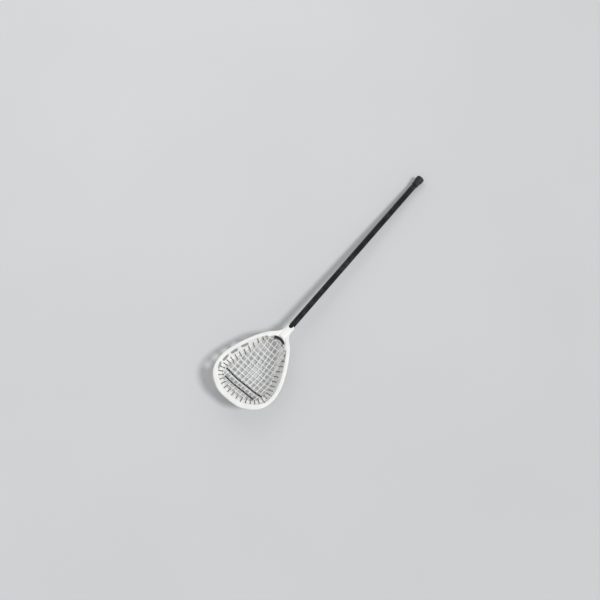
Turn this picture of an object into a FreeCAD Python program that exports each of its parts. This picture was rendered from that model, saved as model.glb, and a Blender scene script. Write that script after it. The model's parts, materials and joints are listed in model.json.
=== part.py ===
import FreeCAD, Part
import math
import os

from FreeCAD import Vector

# A goalkeeper's lacrosse stick, in millimetres, lying on a floor with its open face up.
# It is modelled straight along Y, with the shaft's axis at x = 0, z = 0 and the ball stop at y = 0.
# The scoop points to -Y and the butt to +Y. Last, the stick is tipped until net and butt cap
# both touch z = 0, and is moved so that the origin is under the middle of its box.

# moulded head, seen from above
head_width = 305.0
head_length = 357.0  # ball stop to scoop tip
throat_length = 53.0  # ball stop to neck
throat_width = 98.0  # over both rails at the ball stop
# shares of head_length and of half of head_width, from the throat to the scoop tip
rim_stations = [(0.19, 0.645), (0.42, 0.90), (0.66, 1.0), (0.862, 0.83), (0.953, 0.55)]

# moulded head, seen from the side: heights above the shaft's axis
rim_height_throat = 14.0
rim_height_middle = -4.0
rim_height_scoop = 10.0
rail_height_throat = -15.0
rail_height_middle = -50.0
rail_height_scoop = -17.0
rail_low_share = 0.55  # where the rail is lowest, as a share of its length

# section of the head: rim on top, slanting wall, lacing rail below
rim_width_throat = 12.0
rim_width_side = 17.0
rim_width_scoop = 24.0
rim_thickness = 7.0
rim_bevel = 2.0
wall_inset = 5.0  # wall under the rim, from the rim's outer edge
wall_thickness = 3.5
flare_side = 34.0  # how far the rail lies inside the rim's outer edge
flare_scoop = 30.0
flare_throat = 2.0
flare_reach = 130.0  # past the ball stop, where the side's full flare begins
scoop_start = 0.70  # shares of head_length between which the sides turn into the scoop
scoop_end = 0.94
rail_width = 9.0
rail_depth = 8.0

# openings in the slanting wall
window_count = 5  # on each side
window_length = 34.0
window_height = 15.0
window_first = 62.0  # first window's centre, past the ball stop
window_last = 268.0

# throat, ball stop and socket
stop_radius = 47.0
stop_thickness = 7.0
plate_thickness = 4.0
plate_recess = 2.5
neck_width = 37.0
neck_height = 34.0
neck_corner = 9.0
neck_cheek = 1.2  # the rails end this far inside the neck's sides
mouth_place = 74.0  # socket mouth, past the ball stop
mouth_notch_depth = 15.0
mouth_notch_width = 17.0
mouth_ear_radius = 7.0
pad_thickness = 10.0
pad_height = 17.5
pad_top_drop = 2.0  # pad's top below the rim's
pad_half_angle = 36.0  # degrees
pad_gap = 0.2

# shaft
shaft_length = 1016.0
shaft_width = 25.4
shaft_height = 22.0
shaft_corner = 7.0
shaft_wall = 1.25
shaft_edge_radius = 1.2
shaft_seat = 12.0  # shaft's front end, past the ball stop
socket_clearance = 0.15

# butt cap
cap_sleeve_length = 42.0
cap_sleeve_radius = 15.4
cap_knob_radius = 19.5
cap_knob_length = 13.0
cap_flare_length = 22.0
cap_edge_radius = 4.0
cap_end_thickness = 7.0
cap_clearance = 0.08

# screw that holds the head
screw_place = 36.0  # past the ball stop
screw_shank_radius = 2.2
screw_length = 13.0
screw_head_radius = 4.8
screw_head_height = 2.6
screw_sink = 3.2
screw_slot_width = 1.2
screw_slot_depth = 1.3
screw_clearance = 0.06
screw_root = 0.5  # the shank starts this far inside the head

# net
net_pitch = 21.6
strand_width = 4.6
net_thickness = 4.0
net_gap = 0.7  # between net and rail
net_rise = 2.5  # net's top above the rail's underside, along its edge
net_border = 10.0
net_depth = 38.0
net_bowl_radius = 88.0  # distance from the border where the net reaches its full depth
net_throat_gap = 14.0  # net's throat edge, past the ball stop, in the middle
net_corner_gap = 30.0  # the same where the net meets the rails
net_flat = 0.6  # depth of the flat that the net rests on
least_hole_area = 30.0
net_columns = 25  # heights worked out across the net, and along it
net_rows = 33

# strings
string_radius = 1.3
string_bend = 3.6
corner_share = 0.45  # largest share of a straight run that one corner may use
lace_pitch = 25.0  # along the rim's outer edge
lace_hole_radius = 2.4
lace_hole_rise = 5.0  # hole's centre above the rail
lace_drop = 4.0  # string's centre below the rail
lace_out = 4.5  # string's centre outside the rail, under it
lace_gap = 0.5  # between a knot and the wall
lace_last_run = 0.75  # share of the last run through the wall, up to the end knot
lace_eye_inset = 5.6  # eye in the net's border, from its edge
knot_radius = 3.0
side_lace_first = 36.0  # places along the head, past the ball stop
side_lace_last = 288.0
throat_lace_half = 22.2
throat_lace_height = -8.0
shooter_radius = 2.4
shooter_places = [250.0, 282.0]
shooter_gap = 0.5

station_count = 61
far = 60.0


def ease(t):
    """Smooth step from 0 to 1."""
    t = min(max(t, 0.0), 1.0)
    return t * t * (3 - 2 * t)


def three_heights(share, start, middle, end, peak=0.5):
    """Height that eases from start to middle at the share peak, and on to end at 1."""
    if share < peak:
        return start + (middle - start) * ease(share / peak)
    return middle + (end - middle) * ease((share - peak) / (1 - peak))


def rim_top(place):
    share = place / head_length
    return three_heights(share, rim_height_throat, rim_height_middle, rim_height_scoop)


def rail_bottom(place):
    """Height of the rail's underside at a place past the ball stop, up to the scoop's rail."""
    share = place / (head_length - flare_scoop - rail_width)
    return three_heights(share, rail_height_throat, rail_height_middle, rail_height_scoop, rail_low_share)


def half_outline():
    """Outer edge of the rim's right side, from the neck to the scoop tip."""
    places = [(-throat_length, neck_width / 2 - neck_cheek), (0.0, throat_width / 2)]
    places += [(share * head_length, part * head_width / 2) for share, part in rim_stations]
    points = [Vector(x, -place, 0) for place, x in places]
    points.append(Vector(0, -head_length, 0))
    curve = Part.BSplineCurve()
    curve.interpolate(Points=points, InitialTangent=Vector(0, -1, 0), FinalTangent=Vector(-1, 0, 0))
    return curve


rim_curve = half_outline()
half_span = rim_curve.length()
rim_span = 2 * half_span


def along_rim(distance):
    """Point and inward direction on the rim's outer edge, at a distance from its right end."""
    if distance > half_span:
        point, direction = along_rim(rim_span - distance)
        return Vector(-point.x, point.y, 0), Vector(-direction.x, direction.y, 0)
    parameter = rim_curve.parameterAtDistance(max(distance, 0.0), rim_curve.FirstParameter)
    tangent = rim_curve.tangent(parameter)[0]
    return rim_curve.value(parameter), Vector(tangent.y, -tangent.x, 0).normalize()


def scoop_share(place):
    return ease((place / head_length - scoop_start) / (scoop_end - scoop_start))


def flare(place):
    side = flare_throat + (flare_side - flare_throat) * ease(place / flare_reach)
    return side + (flare_scoop - side) * scoop_share(place)


def rim_width(place):
    past_neck = ease((place + throat_length) / throat_length)
    side = rim_width_throat + (rim_width_side - rim_width_throat) * past_neck
    return side + (rim_width_scoop - side) * scoop_share(place)


def inward(point, direction, inset, height):
    moved = point + direction * inset
    return Vector(moved.x, moved.y, height)


def rail_level(point, direction):
    """Height of the rail's underside for the section that starts at this point of the rim."""
    edge = inward(point, direction, flare(-point.y) + rail_width, 0)
    return rail_bottom(-edge.y)


def head_section(distance):
    """Closed section of rim, wall and rail, square to the rim."""
    point, direction = along_rim(distance)
    top = rim_top(-point.y)
    low = rail_level(point, direction)
    wide = rim_width(-point.y)
    foot = flare(-point.y)
    under = top - rim_thickness
    shape = [
        (0, under),
        (0, top - rim_bevel),
        (rim_bevel, top),
        (wide - rim_bevel, top),
        (wide, top - rim_bevel),
        (wide, under),
        (wall_inset + wall_thickness, under),
        (foot + wall_thickness, low + rail_depth),
        (foot + rail_width, low + rail_depth),
        (foot + rail_width, low),
        (foot, low),
        (foot, low + rail_depth),
        (wall_inset, under),
    ]
    corners = [inward(point, direction, inset, height) for inset, height in shape]
    return Part.makePolygon(corners + corners[:1])


def head_ring():
    sections = [head_section(rim_span * i / (station_count - 1)) for i in range(station_count)]
    return Part.makeLoft(sections, True, False)


def distance_at(place):
    """Distance along the rim's right side to a place past the ball stop."""
    low = 0.0
    high = half_span
    for _ in range(50):
        middle = (low + high) / 2
        if -along_rim(middle)[0].y < place:
            low = middle
        else:
            high = middle
    return low


def wall_window(distance):
    """Oblong prism through the slanting wall."""
    point, direction = along_rim(distance)
    foot = flare(-point.y)
    upper = inward(point, direction, wall_inset, rim_top(-point.y) - rim_thickness)
    lower = inward(point, direction, foot, rail_level(point, direction) + rail_depth)
    down = (lower - upper).normalize()
    side = Vector(0, 0, 1).cross(direction).normalize()
    outward = side.cross(down).normalize()
    clear = (lower - upper).Length - 2 * (lace_hole_rise + lace_hole_radius)
    tall = min(window_height, clear)
    centre = (upper + lower) * 0.5 - down * (lace_hole_rise + lace_hole_radius - rim_bevel) * 0.5
    centre = centre - outward * far / 4
    half = window_length / 2 - tall / 2
    radius = tall / 2
    corners = [
        centre - side * half - down * radius,
        centre + side * half - down * radius,
        centre + side * half + down * radius,
        centre - side * half + down * radius,
    ]
    right_end = centre + side * (half + radius)
    left_end = centre - side * (half + radius)
    edges = [
        Part.LineSegment(corners[0], corners[1]).toShape(),
        Part.Arc(corners[1], right_end, corners[2]).toShape(),
        Part.LineSegment(corners[2], corners[3]).toShape(),
        Part.Arc(corners[3], left_end, corners[0]).toShape(),
    ]
    return Part.Face(Part.Wire(edges)).extrude(outward * far / 2)


def side_windows():
    step = (window_last - window_first) / (window_count - 1)
    prisms = []
    for i in range(window_count):
        distance = distance_at(window_first + step * i)
        prisms.append(wall_window(distance))
        prisms.append(wall_window(rim_span - distance))
    return prisms


def lace_distances():
    """Distances along the rim of the right, scoop and left string loops."""
    first = distance_at(side_lace_first)
    last = distance_at(side_lace_last)
    side_count = int((last - first) / lace_pitch) + 1
    right = [first + lace_pitch * i for i in range(side_count)]
    left = [rim_span - distance for distance in reversed(right)]
    gap = left[0] - right[-1]
    scoop_count = int(gap / lace_pitch) - 1
    scoop = [right[-1] + gap * (i + 1) / (scoop_count + 1) for i in range(scoop_count)]
    return right, scoop, left


def lace_hole(distance):
    point, direction = along_rim(distance)
    height = rail_level(point, direction) + rail_depth + lace_hole_rise
    start = inward(point, direction, flare(-point.y) - far / 3, height)
    return Part.makeCylinder(lace_hole_radius, far * 2 / 3, start, direction)


def octagon(width, height, corner, place):
    """Eight-sided section across the shaft's axis."""
    half_width = width / 2
    half_height = height / 2
    flat_x = half_width - corner
    flat_z = half_height - corner
    shape = [
        (flat_x, half_height),
        (half_width, flat_z),
        (half_width, -flat_z),
        (flat_x, -half_height),
        (-flat_x, -half_height),
        (-half_width, -flat_z),
        (-half_width, flat_z),
        (-flat_x, half_height),
    ]
    corners = [Vector(x, place, z) for x, z in shape]
    return Part.Face(Part.makePolygon(corners + corners[:1]))


def grown_octagon(gap, place):
    """Shaft's section with every side moved out by gap."""
    corner = shaft_corner + gap * (2 - math.sqrt(2))
    return octagon(shaft_width + 2 * gap, shaft_height + 2 * gap, corner, place)


def mouth_plan():
    """Outline of the neck from above, with two ears and a rounded notch at the socket's mouth."""
    half = neck_width / 2
    back = stop_thickness / 2
    ear = mouth_ear_radius
    notch = mouth_notch_width / 2
    bend = ear * (1 - math.sqrt(0.5))
    end = mouth_place
    points = [
        Vector(-half, back, 0),
        Vector(half, back, 0),
        Vector(half, end - ear, 0),
        Vector(half - bend, end - bend, 0),
        Vector(half - ear, end, 0),
        Vector(notch, end, 0),
        Vector(0, end - mouth_notch_depth, 0),
        Vector(-notch, end, 0),
        Vector(ear - half, end, 0),
        Vector(bend - half, end - bend, 0),
        Vector(-half, end - ear, 0),
    ]
    edges = [
        Part.LineSegment(points[0], points[1]).toShape(),
        Part.LineSegment(points[1], points[2]).toShape(),
        Part.Arc(points[2], points[3], points[4]).toShape(),
        Part.LineSegment(points[4], points[5]).toShape(),
        Part.Arc(points[5], points[6], points[7]).toShape(),
        Part.LineSegment(points[7], points[8]).toShape(),
        Part.Arc(points[8], points[9], points[10]).toShape(),
        Part.LineSegment(points[10], points[0]).toShape(),
    ]
    return Part.Face(Part.Wire(edges))


def tall_prism(face, low=-far, high=far):
    moved = face.copy()
    moved.translate(Vector(0, 0, low))
    return moved.extrude(Vector(0, 0, high - low))


def neck_body():
    block = octagon(neck_width, neck_height, neck_corner, stop_thickness / 2)
    block = block.extrude(Vector(0, mouth_place, 0))
    return block.common(tall_prism(mouth_plan()))


def throat_plan():
    """Area between the two rails, from the ball stop's arc to the neck."""
    first = stop_radius * 0.6
    last = -throat_length * 0.6
    right = []
    for i in range(5):
        place = first + (last - first) * i / 4
        point, direction = along_rim(distance_at(place))
        right.append(inward(point, direction, wall_inset, 0))
    left = [Vector(-corner.x, corner.y, 0) for corner in reversed(right)]
    corners = right + left
    area = Part.Face(Part.makePolygon(corners + corners[:1]))
    ball = Part.Face(Part.Wire(Part.makeCircle(stop_radius, Vector(0, -stop_radius, 0))))
    return area.cut(ball)


def throat_block():
    """Top plate and ball stop wall between the rails."""
    plan = throat_plan()
    top = rim_height_throat - plate_recess
    plate = tall_prism(plan, top - plate_thickness, top)
    outer = Part.makeCylinder(stop_radius + stop_thickness, 2 * far, Vector(0, -stop_radius, -far))
    wall = tall_prism(plan, rail_height_throat + rim_bevel, top - plate_thickness / 2).common(outer)
    return plate.fuse(wall)


def screw_tools():
    """Shank hole and sunk seat, from below."""
    floor = -neck_height / 2
    shank = Part.makeCylinder(
        screw_shank_radius + screw_clearance, far, Vector(0, screw_place, floor - far / 2), Vector(0, 0, 1)
    )
    seat = Part.makeCylinder(
        screw_head_radius + screw_clearance, far, Vector(0, screw_place, floor + screw_sink - far)
    )
    return shank.common(Part.makeBox(far, far, far, Vector(-far / 2, 0, -far))), seat


def throat_holes():
    return [
        Part.makeCylinder(
            lace_hole_radius,
            stop_radius / 2 + stop_thickness,
            Vector(side * throat_lace_half, -stop_radius / 2, throat_lace_height),
            Vector(0, 1, 0)
        )
        for side in (-1, 1)
    ]


def head_frame():
    socket = grown_octagon(socket_clearance, shaft_seat).extrude(Vector(0, mouth_place, 0))
    shank, seat = screw_tools()
    right, scoop, left = lace_distances()
    tools = [lace_hole(distance) for distance in right + scoop + left]
    tools += side_windows() + throat_holes()
    body = head_ring().fuse([throat_block(), neck_body()])
    return body.cut(tools + [socket, shank, seat])


def ball_stop_pad():
    """Foam crescent on the ball stop wall."""
    outer = stop_radius - pad_gap
    inner = outer - pad_thickness
    angle = math.radians(pad_half_angle)
    centre = Vector(0, -stop_radius, rim_height_throat - pad_top_drop - pad_height)

    def on_arc(radius, turn):
        return centre + Vector(radius * math.sin(turn), radius * math.cos(turn), 0)

    middle = (outer + inner) / 2
    tip = angle + pad_thickness / outer / 2
    edges = [
        Part.Arc(on_arc(outer, -angle), on_arc(outer, 0), on_arc(outer, angle)).toShape(),
        Part.Arc(on_arc(outer, angle), on_arc(middle, tip), on_arc(inner, angle)).toShape(),
        Part.Arc(on_arc(inner, angle), on_arc(inner, 0), on_arc(inner, -angle)).toShape(),
        Part.Arc(on_arc(inner, -angle), on_arc(middle, -tip), on_arc(outer, -angle)).toShape(),
    ]
    return Part.Face(Part.Wire(edges)).extrude(Vector(0, 0, pad_height))


def shaft():
    tube = grown_octagon(0, shaft_seat).extrude(Vector(0, shaft_length, 0))
    long_edges = [edge for edge in tube.Edges if edge.Length > shaft_length / 2]
    tube = tube.makeFillet(shaft_edge_radius, long_edges)
    bore = grown_octagon(-shaft_wall, shaft_seat - 1).extrude(Vector(0, shaft_length + 2, 0))
    shank = screw_tools()[0]
    return tube.cut([bore, shank])


def cap_profile():
    """Half section of the butt cap in the plane x = 0, from the sleeve's mouth to the end face."""
    end = shaft_seat + shaft_length + cap_end_thickness
    mouth = end - cap_end_thickness - cap_sleeve_length
    knob = end - cap_knob_length
    neck = knob - cap_flare_length
    bend = cap_edge_radius * (1 - math.sqrt(0.5))
    middle = Vector(0, (neck + knob) / 2, (cap_sleeve_radius + cap_knob_radius) / 2)
    lower = Vector(0, (neck + middle.y) / 2, (3 * cap_sleeve_radius + cap_knob_radius) / 4 - bend / 2)
    upper = Vector(0, (knob + middle.y) / 2, (cap_sleeve_radius + 3 * cap_knob_radius) / 4 + bend / 2)
    knob_end = Vector(0, end - cap_edge_radius, cap_knob_radius)
    face_edge = Vector(0, end, cap_knob_radius - cap_edge_radius)
    round_middle = Vector(0, end - bend, cap_knob_radius - bend)
    edges = [
        Part.LineSegment(Vector(0, mouth, 0), Vector(0, mouth, cap_sleeve_radius)).toShape(),
        Part.LineSegment(Vector(0, mouth, cap_sleeve_radius), Vector(0, neck, cap_sleeve_radius)).toShape(),
        Part.Arc(Vector(0, neck, cap_sleeve_radius), lower, middle).toShape(),
        Part.Arc(middle, upper, Vector(0, knob, cap_knob_radius)).toShape(),
        Part.LineSegment(Vector(0, knob, cap_knob_radius), knob_end).toShape(),
        Part.Arc(knob_end, round_middle, face_edge).toShape(),
        Part.LineSegment(face_edge, Vector(0, end, 0)).toShape(),
        Part.LineSegment(Vector(0, end, 0), Vector(0, mouth, 0)).toShape(),
    ]
    return Part.Face(Part.Wire(edges))


def butt_cap():
    solid = cap_profile().revolve(Vector(0, 0, 0), Vector(0, 1, 0), 360)
    end = shaft_seat + shaft_length
    start = end - cap_sleeve_length - 1
    bore = grown_octagon(cap_clearance, start).extrude(Vector(0, end + cap_clearance - start, 0))
    return solid.cut(bore)


def head_screw():
    """Pan head below, shank up through the neck's wall and the shaft's wall."""
    seat = -neck_height / 2 + screw_sink - screw_clearance
    bottom = seat - screw_head_height
    head = Part.makeCylinder(screw_head_radius, screw_head_height, Vector(0, screw_place, bottom))
    round_edges = [edge for edge in head.Edges if edge.BoundBox.ZMax < bottom + 0.1 and edge.Length > 1]
    head = head.makeFillet(screw_head_height * 0.6, round_edges)
    straight = screw_length - 2 * screw_shank_radius
    shank = Part.makeCylinder(screw_shank_radius, straight, Vector(0, screw_place, seat - screw_root))
    point = Part.makeCone(
        screw_shank_radius, screw_shank_radius / 4, 2 * screw_shank_radius,
        Vector(0, screw_place, seat - screw_root + straight)
    )
    slots = []
    for angle in (0, 90):
        slot = Part.makeBox(
            screw_head_radius * 1.2, screw_slot_width, screw_slot_depth,
            Vector(-screw_head_radius * 0.6, screw_place - screw_slot_width / 2, bottom)
        )
        slot.rotate(Vector(0, screw_place, 0), Vector(0, 0, 1), angle)
        slots.append(slot)
    return head.fuse([shank, point]).cut(slots)


def net_edge(inset):
    """Plan curve of the net's edge, moved in by inset, from the right end to the left end."""
    points = []
    first = distance_at(net_throat_gap)
    steps = station_count - 1
    for i in range(station_count):
        point, direction = along_rim(first + (rim_span - 2 * first) * i / steps)
        foot = flare(-point.y) + rail_width + net_gap + inset
        points.append(inward(point, direction, foot, 0))
    return points


def kept_edge(inset):
    """The part of the net's edge curve that lies past the ball stop's arc."""
    limit = -net_corner_gap - inset
    return [point for point in net_edge(inset) if point.y < limit]


def net_plan(inset):
    kept = kept_edge(inset)
    curve = Part.BSplineCurve()
    curve.interpolate(Points=kept)
    middle = Vector(0, -net_throat_gap - inset, 0)
    closing = Part.Arc(kept[-1], middle, kept[0]).toShape()
    return Part.Face(Part.Wire([curve.toShape(), closing]))


def net_height(x, y, edge):
    """Height of the net's top: the rail's level along the border, then a smooth bowl."""
    reach = min(math.hypot(x - point.x, y - point.y) for point in edge)
    share = min(max(reach - net_border, 0.0) / net_bowl_radius, 1.0)
    return rail_bottom(-y) + net_rise - net_depth * (1 - (1 - share) ** 2)


def closed_edge():
    """Close points all round the net's edge, for measuring the distance to it."""
    wire = net_plan(0).OuterWire
    return wire.discretize(Number=4 * station_count)


def net_surface(edge):
    half = head_width / 2 - flare_side
    grid = []
    for i in range(net_columns):
        x = half * (2 * i / (net_columns - 1) - 1)
        line = []
        for j in range(net_rows):
            y = -head_length + (head_length - 2) * j / (net_rows - 1)
            line.append(Vector(x, y, net_height(x, y, edge)))
        grid.append(line)
    surface = Part.BSplineSurface()
    surface.interpolate(grid)
    return surface


def net_holes():
    """Square mesh openings inside the border, lined up with the stick."""
    side = net_pitch - strand_width
    columns = int(head_width / 2 / net_pitch) + 1
    rows = int(head_length / net_pitch) + 1
    squares = []
    for i in range(-columns, columns):
        for j in range(rows):
            corner = Vector(net_pitch * i + strand_width / 2, -net_pitch * (j + 1) + strand_width / 2, 0)
            squares.append(Part.makePlane(side, side, corner))
    inner = net_plan(net_border)
    kept = inner.common(Part.makeCompound(squares))
    return [face for face in kept.Faces if face.Area > least_hole_area]


def lace_eye(distance):
    point, direction = along_rim(distance)
    return inward(point, direction, flare(-point.y) + rail_width + net_gap + lace_eye_inset, 0)


def net_pocket(surface, floor_box):
    right, scoop, left = lace_distances()
    slab = surface.toShape().extrude(Vector(0, 0, -net_thickness))
    body = slab.common(tall_prism(net_plan(0), -3 * far, far))
    tools = [tall_prism(face, -3 * far, far) for face in net_holes()]
    eyes = [lace_eye(distance) for distance in right + scoop + left]
    eyes += throat_eyes()
    for eye in eyes:
        low = Vector(eye.x, eye.y, -2 * far)
        tools.append(Part.makeCylinder(lace_hole_radius, 3 * far, low))
    return body.cut(Part.makeCompound(tools)).cut(floor_box)


def rounded_path(points, bend):
    """Straight runs joined by tangent arcs. Gives the wire and the least arc radius."""
    edges = []
    least = None
    start = points[0]
    for i in range(1, len(points) - 1):
        before = points[i - 1] - points[i]
        after = points[i + 1] - points[i]
        turn = math.pi - before.getAngle(after)
        cut = min(bend * math.tan(turn / 2), corner_share * min(before.Length, after.Length))
        radius = cut / math.tan(turn / 2)
        least = radius if least is None else min(least, radius)
        entry = points[i] + before.normalize() * cut
        leave = points[i] + after.normalize() * cut
        inside = (before + after).normalize()
        middle = points[i] + inside * (radius / math.cos(turn / 2) - radius)
        edges.append(Part.LineSegment(start, entry).toShape())
        edges.append(Part.Arc(entry, middle, leave).toShape())
        start = leave
    edges.append(Part.LineSegment(start, points[-1]).toShape())
    return Part.Wire(edges), least


def tube(points, radius, bend, name):
    path, least = rounded_path(points, bend)
    direction = points[1] - points[0]
    circle = Part.Wire(Part.makeCircle(radius, points[0], direction))
    pipe = path.makePipeShell([circle], True, False)
    share = pipe.Volume / (math.pi * radius ** 2 * path.Length)
    print(f"{name}: length {path.Length:.0f}, least bend radius {least:.2f}, volume share {share:.4f}")
    return pipe


def loop_point(distance, inset, rise):
    """Point beside the rail: inset from its outer side, rise above its underside."""
    point, direction = along_rim(distance)
    level = rail_level(point, direction)
    return inward(point, direction, flare(-point.y) + inset, level + rise)


def outside_wall(distance):
    """Inset, from the rail's outer side, of a knot that clears the slanting wall at hole height."""
    point, direction = along_rim(distance)
    tall = rim_top(-point.y) - rim_thickness - rail_level(point, direction) - rail_depth
    lean = (flare(-point.y) - wall_inset) / tall
    return -lace_hole_rise * max(lean, 0.0) - (knot_radius + lace_gap) * math.hypot(1, lean)


def lace_route(distances):
    """Whip lacing: in through the wall's hole, down through the net's eye, out under the rail."""
    inside = rail_width + net_gap + lace_eye_inset
    above = rail_depth + lace_hole_rise
    step = distances[1] - distances[0]
    points = []
    for i, distance in enumerate(distances):
        points.append(loop_point(distance, outside_wall(distance), above))
        points.append(loop_point(distance, inside, above))
        if i + 1 < len(distances):
            points.append(loop_point(distance, inside, -lace_drop))
            points.append(loop_point(distance + step / 2, -lace_out, -lace_drop))
    return points


def knotted(points, name):
    """String with a round stopper knot at each end."""
    pipe = tube(points, string_radius, string_bend, name)
    return pipe.fuse([Part.makeSphere(knot_radius, points[0]), Part.makeSphere(knot_radius, points[-1])])


def lace_string(distances, name):
    """Laced string that ends in a knot on the wall's inner side."""
    route = lace_route(distances)
    last = len(route) - 1
    inner = route[last]
    outer = route[last - 1]
    route[last] = outer + (inner - outer) * lace_last_run
    return knotted(route, name)


def throat_eyes():
    """Eyes behind the curved throat end of the net."""
    corner = kept_edge(0)[0]
    sag = -net_throat_gap - corner.y
    radius = (corner.x ** 2 + sag ** 2) / (2 * sag)
    back = radius - math.sqrt(radius ** 2 - throat_lace_half ** 2)
    drop = net_throat_gap + back + lace_eye_inset
    return [Vector(side * throat_lace_half, -drop, 0) for side in (-1, 1)]


def throat_string():
    """From behind the ball stop wall through the net's end and back."""
    eyes = throat_eyes()
    back = math.sqrt((stop_radius + stop_thickness) ** 2 - throat_lace_half ** 2) - stop_radius
    back += knot_radius + lace_gap
    under = rail_bottom(-eyes[0].y) + net_rise - net_thickness - string_radius - 2 * lace_gap
    points = [
        Vector(eyes[0].x, back, throat_lace_height),
        Vector(eyes[0].x, eyes[0].y, throat_lace_height),
        Vector(eyes[0].x, eyes[0].y, under),
        Vector(eyes[1].x, eyes[1].y, under),
        Vector(eyes[1].x, eyes[1].y, throat_lace_height),
        Vector(eyes[1].x, back, throat_lace_height),
    ]
    return knotted(points, "throat_string")


def shooting_string(place, name, edge):
    """Lace across the net, resting on it, tied to the net's border at both ends."""
    inner = net_edge(net_border + lace_hole_radius)
    half = min(abs(point.x) for point in inner if abs(-point.y - place) < net_pitch / 2)
    steps = 10
    points = []
    for i in range(steps + 1):
        x = half * (2 * i / steps - 1)
        top = net_height(x, -place, edge)
        slope_x = net_height(x + 1, -place, edge) - net_height(x - 1, -place, edge)
        slope_y = net_height(x, 1 - place, edge) - net_height(x, -1 - place, edge)
        steep = math.hypot(1, slope_x / 2, slope_y / 2)
        points.append(Vector(x, -place, top + (shooter_radius + shooter_gap) * steep))
    return tube(points, shooter_radius, far, name)


def floor_slope(surface):
    """Rise per length of the line that the net's flat and the butt cap both rest on."""
    knob = shaft_seat + shaft_length + cap_end_thickness - cap_edge_radius
    slopes = []
    for i in range(station_count):
        place = head_length * i / station_count
        u, v = surface.parameter(Vector(0, -place, rail_height_middle - net_depth))
        low = surface.value(u, v).z - net_thickness + net_flat
        slopes.append((-cap_knob_radius - low) / (knob + place))
    return max(slopes), knob


def build():
    edge = closed_edge()
    surface = net_surface(edge)
    slope, knob = floor_slope(surface)
    tilt = math.degrees(math.atan(slope))
    under_floor = Part.makeBox(8 * far, 60 * far, 4 * far, Vector(-4 * far, -40 * far, -4 * far))
    under_floor.rotate(Vector(0, 0, 0), Vector(1, 0, 0), tilt)
    under_floor.translate(Vector(0, knob, -cap_knob_radius))
    right, scoop, left = lace_distances()
    right_string = lace_string(right, "sidewall_string_right")
    solids = {
        "head_frame": head_frame(),
        "ball_stop_pad": ball_stop_pad(),
        "shaft": shaft(),
        "butt_cap": butt_cap(),
        "head_screw": head_screw(),
        "net_pocket": net_pocket(surface, under_floor),
        "sidewall_string_right": right_string,
        "sidewall_string_left": right_string.mirror(Vector(0, 0, 0), Vector(1, 0, 0)),
        "scoop_string": lace_string(scoop, "scoop_string"),
        "throat_string": throat_string(),
        "shooting_string_lower": shooting_string(shooter_places[0], "shooting_string_lower", edge),
        "shooting_string_upper": shooting_string(shooter_places[1], "shooting_string_upper", edge),
    }
    return solids, tilt


def place_on_floor(solids, tilt):
    """Tip the stick level with the floor and put the origin under the middle of its box."""
    for shape in solids.values():
        shape.rotate(Vector(0, 0, 0), Vector(1, 0, 0), -tilt)
    box = Part.makeCompound(list(solids.values())).optimalBoundingBox(False)
    move = Vector(-(box.XMin + box.XMax) / 2, -(box.YMin + box.YMax) / 2, -box.ZMin)
    for shape in solids.values():
        shape.translate(move)
    return move


def main():
    os.makedirs("parts", exist_ok=True)
    solids, tilt = build()
    move = place_on_floor(solids, tilt)
    for name, shape in solids.items():
        shape.exportStep(f"parts/{name}.step")
        print(name, len(shape.Solids), shape.isValid(), round(shape.Volume), "mm3")
    print("tilt", tilt, "move", move)
    return solids, tilt, move


model = main()
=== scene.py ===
import json
import math
import bmesh
import bpy
import numpy as np
from mathutils import Matrix, Vector


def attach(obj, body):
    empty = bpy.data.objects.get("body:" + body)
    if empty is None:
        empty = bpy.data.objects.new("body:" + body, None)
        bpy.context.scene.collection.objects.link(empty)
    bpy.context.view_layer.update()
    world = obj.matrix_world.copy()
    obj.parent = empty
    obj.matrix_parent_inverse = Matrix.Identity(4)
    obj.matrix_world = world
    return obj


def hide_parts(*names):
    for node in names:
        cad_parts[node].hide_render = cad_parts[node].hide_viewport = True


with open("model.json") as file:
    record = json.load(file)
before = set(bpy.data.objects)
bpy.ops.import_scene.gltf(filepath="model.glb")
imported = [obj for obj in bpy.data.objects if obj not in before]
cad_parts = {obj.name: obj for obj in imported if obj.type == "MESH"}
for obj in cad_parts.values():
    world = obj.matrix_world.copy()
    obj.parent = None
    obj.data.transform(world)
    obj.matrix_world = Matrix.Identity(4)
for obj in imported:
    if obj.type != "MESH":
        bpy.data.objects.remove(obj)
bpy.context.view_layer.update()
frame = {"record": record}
print("frame loaded")

# What the whole stick shares, in metres. The stick's own frame has its shaft along Y, its axis at
# x = z = 0 and the ball stop at y = 0, as the net and the cap are worked out there.
stick = {
    "capEnd": 1.035,  # end face of the butt cap, from the ball stop
    "headWidth": 0.305,
    "headLength": 0.357,
    "throatLength": 0.053,
    "throatWidth": 0.098,
    "neckHalf": 0.0173,
    # share of the length, and half width there as a share of the widest
    "rimStations": [(0.19, 0.645), (0.42, 0.90), (0.66, 1.0), (0.862, 0.83), (0.953, 0.55)],
    "rimPoints": 3000,
    "railWidth": 0.009,
    "flareThroat": 0.002,  # how far the rail stands inside the rim
    "flareSide": 0.034,
    "flareScoop": 0.030,
    "flareReach": 0.130,  # the side's flare is full this far past the ball stop
    "scoopFrom": 0.70,  # share of the length where the scoop's flare starts
    "scoopSpan": 0.24,
    "lowest": 0.55,  # share of the rail's length where it is deepest
    "railHeights": (-0.015, -0.050, -0.017),  # throat, middle, scoop
}

# the end face of the butt cap: its axis is the shaft's own
mount = frame["record"]["mounts"][0]
stickY = np.array(mount["axis"], float)
stickX = np.array([1.0, 0.0, 0.0])
stickZ = np.cross(stickX, stickY)
stickOrigin = np.array(mount["pos_m"], float) - stickY * stick["capEnd"]
turnToRow = np.array([stickX, stickY, stickZ])


def toRow(points):
    # stick frame to the model's frame: a turn about X and a shift
    return np.asarray(points, float) @ turnToRow + stickOrigin


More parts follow.
